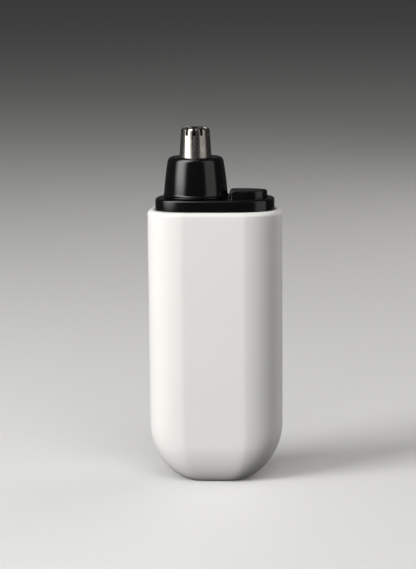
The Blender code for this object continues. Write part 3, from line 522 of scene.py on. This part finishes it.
def make_dome():
    """The head's housing: slightly bulged wall, round shoulder, and a small flare and lip at its foot."""
    base, top = DOME_LOW.z, DOME_HIGH.z
    slope = (DOME_BASE_RADIUS - DOME_SHOULDER_RADIUS) / (top - base)
    corner = (DOME_SHOULDER_RADIUS + slope * DOME_FILLET - DOME_FILLET, top - DOME_FILLET)
    profile = [(DOME_HOLE, top - DOME_HOLE_CHAMFER), (DOME_HOLE + DOME_HOLE_CHAMFER, top)]
    profile += arc(corner, DOME_FILLET, 90, DOME_SHOULDER_LEAN, 20)
    flare = arc((DOME_BASE_RADIUS + FLARE_CENTRE[0], base + FLARE_CENTRE[1]), FLARE_RADIUS, 180, 232, 6)
    shoulder, foot = Vector(profile[-1]), Vector(flare[0])
    wall_steps = 16
    for i in range(1, wall_steps):
        share = i / wall_steps
        radius, height = shoulder.lerp(foot, share)
        profile.append((radius + DOME_BULGE * 4 * share * (1 - share), height))
    profile += flare
    profile += arc((DOME_BASE_RADIUS + LIP_CENTRE[0], base + LIP_CENTRE[1]), LIP_RADIUS, 60, -70, 8)
    profile += [(flare[0][0], base), (DOME_MOUTH + DOME_MOUTH_CHAMFER, base)]
    profile += [(DOME_MOUTH, base + DOME_MOUTH_CHAMFER), *DOME_INSIDE, (DOME_HOLE, DOME_INSIDE[-1][1])]
    return settled(turned("dome", profile, DRIVE_X), 30)


def cutter_radius(height):
    """Outer radius of the cutter's tapered wall."""
    share = (height - DOME_HIGH.z) / (CUTTER_HIGH.z - DOME_HIGH.z)
    return CUTTER_BASE_RADIUS + (CUTTER_TOP_RADIUS - CUTTER_BASE_RADIUS) * share


def slot_tool(index):
    """A cutter for one slot: a round-bottomed gate from just outside the top hole outwards."""
    half = SLOT_WIDTH / 2
    top, bottom = CUTTER_HIGH.z + 1, CUTTER_HIGH.z - SLOT_DEPTH + half
    gate = [(-half, top), *arc((0.0, bottom), half, 180, 360, 8), (half, top)]
    rings = [
        [(DRIVE_X + reach, across, height) for across, height in gate]
        for reach in (SLOT_START, SLOT_END)
    ]
    tool = skin(f"slot_tool_{index}", rings)
    turn_about(tool, DRIVE_X, SLOT_TURN + 2 * pi * index / SLOT_COUNT)
    return tool


def make_cutter():
    """The steel cap: tapered wall, flange at its foot, round crown with a hole, and the slots."""
    bottom, top = CUTTER_LOW.z, CUTTER_HIGH.z
    crown = (CUTTER_TOP_RADIUS - CROWN_RADIUS, top - CROWN_RADIUS)
    flange = (CUTTER_HIGH.x - CUTTER_LOW.x) / 2
    root = bottom + CUTTER_FLANGE_ROOT
    profile = [(CROWN_HOLE, top - CROWN_HOLE_CHAMFER), (CROWN_HOLE + CROWN_HOLE_CHAMFER, top)]
    profile += arc(crown, CROWN_RADIUS, 90, 3, 12)
    profile += [(cutter_radius(root), root), (flange, bottom + CUTTER_FLANGE_RIM), (flange, bottom)]
    profile += [(cutter_radius(bottom) - CUTTER_WALL, bottom)]
    profile += arc(crown, CROWN_RADIUS - CUTTER_WALL, 3, 90, 8)
    profile += [(CROWN_HOLE, top - CUTTER_WALL)]
    cutter = turned("cutter", profile, DRIVE_X)
    for index in range(SLOT_COUNT):
        boolean(cutter, slot_tool(index), "DIFFERENCE")
    soften(cutter, 0.07, 2)
    return settled(cutter)


def make_blade():
    """Crossed wings with a bevelled cutting edge, trimmed to the inside of the cutter."""
    low, high = box_mm("inner_blade")
    bottom, top = low.z, high.z
    radius = CUTTER_TOP_RADIUS - CUTTER_WALL - BLADE_GAP
    profile = [(0, top), (radius - BLADE_BEVEL_WIDTH, top), (radius - BLADE_TAPER, top - BLADE_BEVEL_DROP)]
    profile += [(radius, bottom), (0, bottom)]
    blade = turned("blade", profile, DRIVE_X)
    reach = radius + 1
    wings = drive_block("blade_wings", reach, WING_HALF_WIDTH, bottom - 1, top + 1)
    cross = drive_block("blade_cross", WING_HALF_WIDTH, reach, bottom - 1, top + 1)
    boolean(wings, cross, "UNION")
    wings = settled(wings)
    turn_about(wings, DRIVE_X, BLADE_TURN)
    boolean(blade, wings, "INTERSECT")
    soften(blade, 0.05, 2)
    return settled(blade)


def make_coupler():
    """The sleeve that the motor's shaft turns, with a slot for the carrier's key in its top."""
    low, high = box_mm("drive_coupler")
    radius, bore = COUPLER_RADIUS, COUPLER_BORE
    top_edge, bottom_edge = 0.3, 0.15
    profile = [(0, high.z), (radius - top_edge, high.z), (radius, high.z - top_edge)]
    profile += [(radius, low.z + bottom_edge), (radius - bottom_edge, low.z)]
    profile += [(bore, low.z), (bore, COUPLER_BORE_TOP), (0, COUPLER_BORE_TOP)]
    coupler = turned("coupler", profile, DRIVE_X, 96)
    slot = drive_block("coupler_slot", KEY_SLOT_HALF_WIDTH, radius + 0.9, KEY_SLOT_BOTTOM, KEY_TOP)
    boolean(coupler, slot, "DIFFERENCE")
    soften(coupler, 0.08)
    return settled(coupler)


def make_carrier():
    """Hub, collar and stem that hold the blade, on a key that reaches into the coupler."""
    low, high = box_mm("blade_carrier")
    collar_bottom, collar_top = COLLAR_Z
    profile = [(0, high.z), (CARRIER_HUB, high.z), (CARRIER_HUB, collar_top), (COLLAR_RADIUS, collar_top)]
    profile += [(COLLAR_RADIUS, collar_bottom), (CARRIER_STEM, collar_bottom)]
    profile += [(CARRIER_STEM, CARRIER_STEM_BOTTOM), (0, CARRIER_STEM_BOTTOM)]
    carrier = turned("carrier", profile, DRIVE_X, 96)
    key = drive_block("carrier_key", KEY_HALF_WIDTH, KEY_HALF_DEPTH, low.z, KEY_TOP)
    boolean(carrier, key, "UNION")
    soften(carrier, 0.08)
    return settled(carrier)


def make_spring():
    """Compression spring with a closed coil at each end."""
    low, high = box_mm("blade_spring")
    line = bpy.data.curves.new("spring", "CURVE")
    line.dimensions = "3D"
    line.bevel_depth = SPRING_WIRE_RADIUS * MM
    line.bevel_resolution = 5
    line.use_fill_caps = True
    spline = line.splines.new("POLY")
    steps = 330
    spline.points.add(steps)
    bottom, top = low.z + SPRING_WIRE_RADIUS, high.z - SPRING_WIRE_RADIUS
    for i in range(steps + 1):
        share = i / steps
        lift = max(0.0, min(1.0, (share - SPRING_CLOSED_SHARE) / (1 - 2 * SPRING_CLOSED_SHARE)))
        angle = 2 * pi * SPRING_TURNS * share
        across = (DRIVE_X + SPRING_RADIUS * cos(angle), SPRING_RADIUS * sin(angle))
        spline.points[i].co = (*(Vector((*across, bottom + (top - bottom) * lift)) * MM), 1.0)
    return add_object("spring", line)


def make_retainer():
    low, high = box_mm("cutter_retainer")
    inner, outer, chamfer = 4.1, (high.x - low.x) / 2, 0.2
    profile = [(outer - chamfer, high.z), (outer, high.z - chamfer)]
    profile += [(outer, low.z + chamfer), (outer - chamfer, low.z)]
    profile += [(inner + chamfer, low.z), (inner, low.z + chamfer)]
    profile += [(inner, high.z - chamfer), (inner + chamfer, high.z)]
    return settled(turned("retainer", profile, DRIVE_X, 128))


def make_neck_ring():
    low, high = box_mm("neck_ring")
    half_width, half_height = 0.42, 0.36
    radius, middle = (high.x - low.x) / 2 - half_width, (low.z + high.z) / 2
    turns = [-2 * pi * i / 24 for i in range(24)]
    section = [(radius + half_width * cos(a), middle + half_height * sin(a)) for a in turns]
    return settled(turned("sealing_ring", section, DRIVE_X, 128))


# ---------------------------------------------------------------- materials


def add_node(tree, kind, **values):
    """A shader node, with values for its sockets by name, spaces written as underscores."""
    made = tree.nodes.new(kind)
    for name, value in values.items():
        made.inputs[name.replace("_", " ")].default_value = value
    return made


def new_material(name, colour, roughness, metallic=0.0, **values):
    made = bpy.data.materials.new(name)
    made.use_nodes = True
    shader = made.node_tree.nodes["Principled BSDF"]
    shader.inputs["Base Color"].default_value = (*colour, 1.0)
    shader.inputs["Roughness"].default_value = roughness
    shader.inputs["Metallic"].default_value = metallic
    for socket, value in values.items():
        shader.inputs[socket.replace("_", " ")].default_value = value
    return made


def noise(tree, scale, detail, stretch=(1, 1, 1)):
    """Noise with a scale in grains per millimetre, stretched along chosen axes."""
    where = add_node(tree, "ShaderNodeTexCoord")
    mapping = add_node(tree, "ShaderNodeMapping")
    mapping.inputs["Scale"].default_value = [s * scale / MM for s in stretch]
    tree.links.new(where.outputs["Object"], mapping.inputs["Vector"])
    made = add_node(tree, "ShaderNodeTexNoise", Scale=1.0, Detail=detail)
    tree.links.new(mapping.outputs["Vector"], made.inputs["Vector"])
    return made.outputs["Fac"]


def ranged(tree, source, low, high):
    """Spreads noise, which lies mostly between 0.3 and 0.7, over a range."""
    made = add_node(tree, "ShaderNodeMapRange", From_Min=0.3, From_Max=0.7, To_Min=low, To_Max=high)
    tree.links.new(source, made.inputs["Value"])
    return made.outputs["Result"]


def vary_roughness(material, source, low, high):
    tree = material.node_tree
    tree.links.new(ranged(tree, source, low, high), tree.nodes["Principled BSDF"].inputs["Roughness"])


def vary_colour(material, source, dark, light):
    tree = material.node_tree
    mix = add_node(tree, "ShaderNodeMix")
    mix.data_type = "RGBA"
    mix.inputs["A"].default_value = (*dark, 1.0)
    mix.inputs["B"].default_value = (*light, 1.0)
    tree.links.new(ranged(tree, source, 0.0, 1.0), mix.inputs["Factor"])
    tree.links.new(mix.outputs["Result"], tree.nodes["Principled BSDF"].inputs["Base Color"])


def add_bump(material, source, height):
    """Bump of a height in millimetres."""
    tree = material.node_tree
    bump = add_node(tree, "ShaderNodeBump", Strength=1.0, Distance=height * MM)
    tree.links.new(source, bump.inputs["Height"])
    tree.links.new(bump.outputs["Normal"], tree.nodes["Principled BSDF"].inputs["Normal"])


def moulded(name, dark, light, roughness, grain=4.0, height=0.0015, **values):
    """Moulded plastic: slow change of tone, fine grain, and patches a little shinier than the rest."""
    made = new_material(name, light, roughness, **values)
    tree = made.node_tree
    vary_colour(made, noise(tree, 0.06, 2.0), dark, light)
    vary_roughness(made, noise(tree, 0.35, 4.0), roughness * 0.92, roughness * 1.08)
    add_bump(made, noise(tree, grain, 2.0), height)
    return made


def metal(name, dark, light, roughness, grain=6.0, height=0.001, stretch=(1, 1, 1)):
    """Worked metal: slow change of tone, and a fine grain that also moves the roughness."""
    made = new_material(name, light, roughness, 1.0)
    tree = made.node_tree
    grains = noise(tree, grain, 4.0, stretch)
    vary_colour(made, noise(tree, 0.8, 3.0), dark, light)
    vary_roughness(made, grains, roughness * 0.7, roughness * 1.4)
    add_bump(made, grains, height)
    return made


def make_materials():
    """One material for each of the record's slots, by slot name."""
    return {
        "white_shell": moulded(
            "white_shell_look", (0.78, 0.775, 0.755), (0.80, 0.79, 0.77), 0.5, 5.0, 0.002,
            Specular_IOR_Level=0.12,
        ),
        "black_gloss": moulded(
            "black_gloss_look", (0.002, 0.002, 0.0025), (0.003, 0.003, 0.0035), 0.15, 2.0, 0.0006
        ),
        "black_plastic": moulded("black_plastic_look", (0.02, 0.02, 0.022), (0.035, 0.035, 0.037), 0.5),
        "grey_plastic": moulded("grey_plastic_look", (0.28, 0.29, 0.3), (0.35, 0.36, 0.37), 0.5),
        "steel": metal("steel_look", (0.29, 0.275, 0.255), (0.38, 0.36, 0.335), 0.26),
        "plated": metal("plated_look", (0.6, 0.57, 0.48), (0.76, 0.73, 0.64), 0.3),
        "copper": metal(
            "copper_look", (0.55, 0.2, 0.07), (0.78, 0.36, 0.16), 0.32, 5.0, 0.002, stretch=(1, 1, 0.1)
        ),
        "bronze": metal("bronze_look", (0.42, 0.27, 0.12), (0.6, 0.42, 0.2), 0.45),
        "magnet": moulded("magnet_look", (0.06, 0.06, 0.065), (0.11, 0.11, 0.115), 0.6, 5.0, 0.004),
        "rubber": moulded("rubber_look", (0.015, 0.015, 0.015), (0.03, 0.03, 0.03), 0.75, 6.0, 0.003),
        "board": moulded("board_look", (0.012, 0.12, 0.05), (0.025, 0.18, 0.08), 0.35),
        "chip": moulded("chip_look", (0.015, 0.015, 0.016), (0.028, 0.028, 0.03), 0.45, 8.0, 0.003),
        "cell_wrap": moulded("cell_wrap_look", (0.03, 0.17, 0.38), (0.06, 0.25, 0.5), 0.3, 1.0, 0.004),
        "wire_red": moulded("wire_red_look", (0.45, 0.03, 0.02), (0.6, 0.05, 0.04), 0.4),
        "wire_black": moulded("wire_black_look", (0.015, 0.015, 0.015), (0.03, 0.03, 0.03), 0.4),
        "wire_grey": moulded("wire_grey_look", (0.45, 0.45, 0.45), (0.58, 0.58, 0.58), 0.4),
    }


def dress_frame(materials):
    """Gives every CAD node the material of its slot in the record."""
    for entry in frame["record"]["subparts"]:
        node = frame["nodes"][entry["node"]]
        for place in node.material_slots:
            place.material = materials[entry["material_slot"]]


def paint_shade_inside(piece, look, axis_x):
    """Gives a second material, painted shade, to the faces that lean towards a vertical axis."""
    least_lean = 0.3
    piece.data.materials.append(look)
    for face in piece.data.polygons:
        outwards = Vector((face.center.x - axis_x * MM, face.center.y, 0.0)).normalized()
        if face.normal.dot(outwards) < -least_lean:
            face.material_index = 1


def dress(piece, materials, slot, body, *nodes):
    """Gives a piece its material and body, and hides the CAD nodes it stands for."""
    piece.data.materials.clear()
    piece.data.materials.append(materials[slot])
    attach(piece, body)
    if nodes:
        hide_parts(*nodes)


# ---------------------------------------------------------------- stage


def make_floor():
    """A pale floor that runs past the camera's view. It neither lights the trimmer nor shows in it."""
    built = bmesh.new()
    bmesh.ops.create_grid(built, x_segments=1, y_segments=1, size=FLOOR_SIZE * MM)
    floor = from_bmesh("floor", built)
    floor.data.materials.append(new_material("floor_look", FLOOR_COLOUR, FLOOR_ROUGHNESS))
    floor.visible_diffuse = False
    floor.visible_glossy = False


def math_node(tree, operation, *sources):
    """A Math node fed by other nodes' outputs."""
    made = add_node(tree, "ShaderNodeMath")
    made.operation = operation
    for source, socket in zip(sources, made.inputs):
        tree.links.new(source, socket)
    return made


def edge_fade(tree, coordinate, margin):
    """0 at both ends of a coordinate that runs from 0 to 1, rising to 1 over the margin."""
    away = math_node(tree, "SUBTRACT", coordinate)
    away.inputs[1].default_value = 0.5
    size = math_node(tree, "ABSOLUTE", away.outputs["Value"])
    fade = add_node(tree, "ShaderNodeMapRange", From_Min=0.5, From_Max=0.5 - margin, To_Min=0.0, To_Max=1.0)
    fade.interpolation_type = "SMOOTHSTEP"
    tree.links.new(size.outputs["Value"], fade.inputs["Value"])
    return fade.outputs["Result"]


def soften_panel(data, margins):
    """Fades a panel's light towards its edges, by a share of its width and of its height."""
    data.use_nodes = True
    tree = data.node_tree
    where = add_node(tree, "ShaderNodeNewGeometry")
    split = add_node(tree, "ShaderNodeSeparateXYZ")
    tree.links.new(where.outputs["Parametric"], split.inputs["Vector"])
    across = edge_fade(tree, split.outputs["X"], margins[0])
    along = edge_fade(tree, split.outputs["Y"], margins[1])
    both = math_node(tree, "MULTIPLY", across, along)
    tree.links.new(both.outputs["Value"], tree.nodes["Emission"].inputs["Strength"])


def direction(azimuth, elevation):
    """Direction away from the trimmer. Azimuth 0 is in front, 90 on the +X side."""
    a, e = radians(azimuth), radians(elevation)
    return Vector((sin(a) * cos(e), -cos(a) * cos(e), sin(e)))


def make_panel(name, azimuth, elevation, distance, size, radiance, colour, lights, margins=None):
    """A rectangular light that faces the trimmer, with its distance and size in metres.

    It lights either matt colour, called diffuse, or reflections, called glossy.
    """
    data = bpy.data.lights.new(name, "AREA")
    data.shape = "RECTANGLE"
    data.size, data.size_y = size
    data.energy = radiance * pi * size[0] * size[1]
    data.color = colour
    if margins:
        soften_panel(data, margins)
    lamp = add_object(name, data)
    lamp.visible_glossy = lights == "glossy"
    lamp.visible_diffuse = lights == "diffuse"
    away = direction(azimuth, elevation)
    lamp.location = Vector((0, 0, PANEL_AIM * MM)) + away * distance
    lamp.rotation_mode = "QUATERNION"
    lamp.rotation_quaternion = away.to_track_quat("Z", "Y")


def make_lights():
    """A bright panel at the left and a weaker one at the right, each with its own reflection."""
    warm, neutral = (1.0, 0.97, 0.92), (1.0, 0.995, 0.98)
    # azimuth, elevation, distance, size, radiance, colour, what it lights, share of its edges that fades
    make_panel("key", -56, 22, 0.8, (0.4, 0.5), 11.9, neutral, "diffuse")
    make_panel("key_reflection", -58, 37, 0.7, (0.8, 1.2), 6.0, neutral, "glossy", (0.4, 0.2))
    make_panel("top_reflection", -55, 76, 1.0, (0.6, 0.6), 0.9, neutral, "glossy")
    make_panel("fill", 125, 8, 0.7, (0.68, 1.2), 1.45, warm, "diffuse")
    make_panel("fill_reflection", 62, 22, 0.7, (0.68, 1.2), 0.85, warm, "glossy", (0.2, 0.3))
    make_panel("front", 5, 45, 1.6, (1.6, 1.6), 1.7, neutral, "diffuse")


def make_world():
    """Faint white light from all round, and plain colours in the picture."""
    world = bpy.data.worlds.new("studio")
    world.use_nodes = True
    background = world.node_tree.nodes["Background"]
    background.inputs["Color"].default_value = (1.0, 1.0, 1.0, 1.0)
    background.inputs["Strength"].default_value = WORLD_STRENGTH
    bpy.context.scene.world = world
    bpy.context.scene.view_settings.view_transform = "Standard"


def make_camera():
    data = bpy.data.cameras.new("camera")
    data.lens = CAMERA_LENS
    data.sensor_width = CAMERA_SENSOR
    camera = add_object("camera", data)
    back = direction(CAMERA_AZIMUTH, CAMERA_ELEVATION)
    camera.location = (Vector(CAMERA_AIM) + back * CAMERA_DISTANCE) * MM
    camera.rotation_mode = "QUATERNION"
    camera.rotation_quaternion = Quaternion(back, -radians(CAMERA_ROLL)) @ (-back).to_track_quat("-Z", "Y")
    bpy.context.scene.camera = camera


def make_pieces(materials):
    """Makes each finer skin. Near-black steel inside the cutter and on its blade is painted shade that
    keeps the narrow slots dark.
    """
    dress(make_shell(), materials, "white_shell", "handle", "body_sleeve")
    dress(make_deck(), materials, "black_gloss", "handle", "top_deck")
    dress(make_neck_ring(), materials, "rubber", "handle", "neck_ring")
    shell, tongue, contacts = make_socket()
    dress(shell, materials, "steel", "handle", "socket_shell")
    dress(tongue, materials, "black_plastic", "handle", "socket_tongue")
    dress(contacts, materials, "plated", "handle")
    dress(make_button(), materials, "black_gloss", "button", "button_cap")
    dress(make_dome(), materials, "black_gloss", "head", "head_dome")
    # Near-black steel that paints shade into the hollow of the cutter and onto the blade inside it.
    painted_shade_steel = metal("painted_shade_steel_look", (0.02, 0.02, 0.019), (0.04, 0.038, 0.036), 0.5)
    cutter = make_cutter()
    dress(cutter, materials, "steel", "head", "cutter_cap")
    # Painted shade: the cutter's inner faces get the near-black steel.
    paint_shade_inside(cutter, painted_shade_steel, DRIVE_X)
    dress(make_retainer(), materials, "black_plastic", "head", "cutter_retainer")
    blade = make_blade()
    dress(blade, materials, "steel", "rotor", "inner_blade")
    # Painted shade: the blade gets the near-black steel in place of its own steel.
    blade.data.materials[0] = painted_shade_steel
    dress(make_coupler(), materials, "grey_plastic", "rotor", "drive_coupler")
    dress(make_carrier(), materials, "grey_plastic", "rotor", "blade_carrier")
    dress(make_spring(), materials, "steel", "rotor", "blade_spring")


def main():
    materials = make_materials()
    dress_frame(materials)
    make_pieces(materials)
    make_floor()
    make_lights()
    make_world()
    make_camera()


main()
